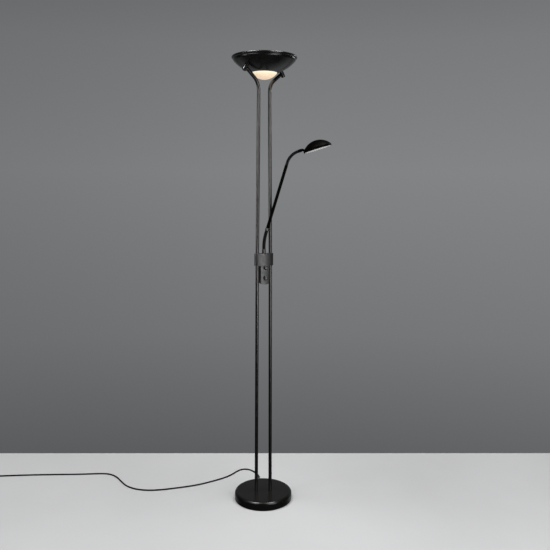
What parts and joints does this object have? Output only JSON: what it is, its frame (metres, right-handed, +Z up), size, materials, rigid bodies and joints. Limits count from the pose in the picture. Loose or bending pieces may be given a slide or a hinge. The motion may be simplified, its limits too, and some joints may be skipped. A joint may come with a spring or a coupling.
{
  "type": "floor lamp with reading light",
  "caption": "Twin-tube floor lamp with an uplighter dish over a lit glass bowl, a dimmer housing with knobs, and a bendable reading arm with a tilting LED head; cord with plug.",
  "frame": {"origin": "on the floor under the middle of the base, in the underside of the felt pad", "axes": "+Z up, +X at the housing from the left tube to the right tube, -Y towards the knobs"},
  "size_m": [1.3844, 0.9361, 1.8],
  "materials": {
    "black_steel": "satin black powder coat",
    "black_nickel": "satin black nickel",
    "black_matte": "matt black",
    "black_neck": "ribbed, satin black",
    "black_plastic": "satin black",
    "cast_weight": "raw casting",
    "felt": "felt",
    "zinc_steel": "zinc plated",
    "pale_metal": "satin, dark grey",
    "bright_ring": "turned",
    "cord_rubber": "satin black sheath",
    "wire_rubber": "grey sheath",
    "pin_brass": "nickel plated",
    "board_green": "solder resist",
    "board_white": "white",
    "led_yellow": "phosphor",
    "carrier_aluminium": "plain sheet",
    "frosted_glass": "frosted opal",
    "white_diffuser": "opal"
  },
  "bodies": {
    "stand": {"base_shell": "black_steel", "dish_shell": "black_steel", "dish_posts": "black_steel", "left_lower_tube": "black_nickel", "right_lower_tube": "black_nickel", "left_upper_tube": "black_nickel", "right_upper_tube": "black_nickel", "housing_body": "black_plastic", "housing_cover": "black_plastic", "upper_dimmer": "black_plastic", "lower_dimmer": "black_plastic", "base_weight": "cast_weight", "base_pad": "felt", "base_plate": "zinc_steel", "plate_screws": "zinc_steel", "stem_nipples": "zinc_steel", "stem_nuts": "zinc_steel", "stem_spacers": "zinc_steel", "stem_couplers": "zinc_steel", "cover_screws": "zinc_steel", "collar_screws": "zinc_steel", "dimmer_nuts": "zinc_steel", "carrier_screws": "zinc_steel", "post_nipples": "zinc_steel", "post_nuts": "zinc_steel", "cord_gland": "cord_rubber", "mains_cord": "cord_rubber", "cord_coil": "cord_rubber", "coil_tie": "cord_rubber", "plug_body": "cord_rubber", "supply_wire": "wire_rubber", "dish_lead": "wire_rubber", "plug_pins": "pin_brass", "control_board": "board_green", "led_board": "board_white", "led_chips": "led_yellow", "led_carrier": "carrier_aluminium", "glass_bowl": "frosted_glass", "top_diffuser": "white_diffuser"},
    "upper_knob_set": {"upper_knob": "black_plastic", "upper_dimmer_shaft": "zinc_steel"},
    "lower_knob_set": {"lower_knob": "black_plastic", "lower_dimmer_shaft": "zinc_steel"},
    "arm_foot": {"arm_ferrule": "pale_metal", "arm_nut": "zinc_steel", "lower_neck": "black_neck", "lower_neck_lead": "wire_rubber"},
    "arm": {"neck_ring": "bright_ring", "arm_tube": "black_matte", "arm_lead": "wire_rubber", "upper_neck": "black_neck", "upper_neck_lead": "wire_rubber"},
    "head_mount": {"head_fork": "black_matte", "knuckle_pin": "black_matte"},
    "head": {"head_shell": "black_matte", "head_lug": "black_matte", "head_frame": "board_white", "head_led_board": "board_white", "head_leds": "led_yellow", "head_diffuser": "white_diffuser"}
  },
  "joints": [
    {"name": "upper_knob_turn", "type": "hinge", "parent": "stand", "child": "upper_knob_set", "pos_m": [0, -0.018, 0.98], "axis": [0, -1, 0], "range_deg": [-150, 150]},
    {"name": "lower_knob_turn", "type": "hinge", "parent": "stand", "child": "lower_knob_set", "pos_m": [0, -0.018, 0.938], "axis": [0, -1, 0], "range_deg": [-150, 150]},
    {"name": "arm_swivel", "type": "hinge", "parent": "stand", "child": "arm_foot", "pos_m": [0, 0, 1.037], "axis": [0, 0, 1], "range_deg": [-108, 4]},
    {"name": "lower_neck_bend", "type": "hinge", "parent": "arm_foot", "child": "arm", "pos_m": [0, 0, 1.09092], "axis": [0.5225, 0.8526, 0], "range_deg": [-8, 40], "deforming": ["lower_neck", "lower_neck_lead"]},
    {"name": "upper_neck_bend", "type": "hinge", "parent": "arm", "child": "head_mount", "pos_m": [0.08625, -0.05286, 1.42812], "axis": [0.5225, 0.8526, 0], "range_deg": [-55, 45], "deforming": ["upper_neck", "upper_neck_lead"]},
    {"name": "head_tilt", "type": "hinge", "parent": "head_mount", "child": "head", "pos_m": [0.12876, -0.0789, 1.44528], "axis": [-0.5225, -0.8526, 0], "range_deg": [-35, 40]}
  ]
}
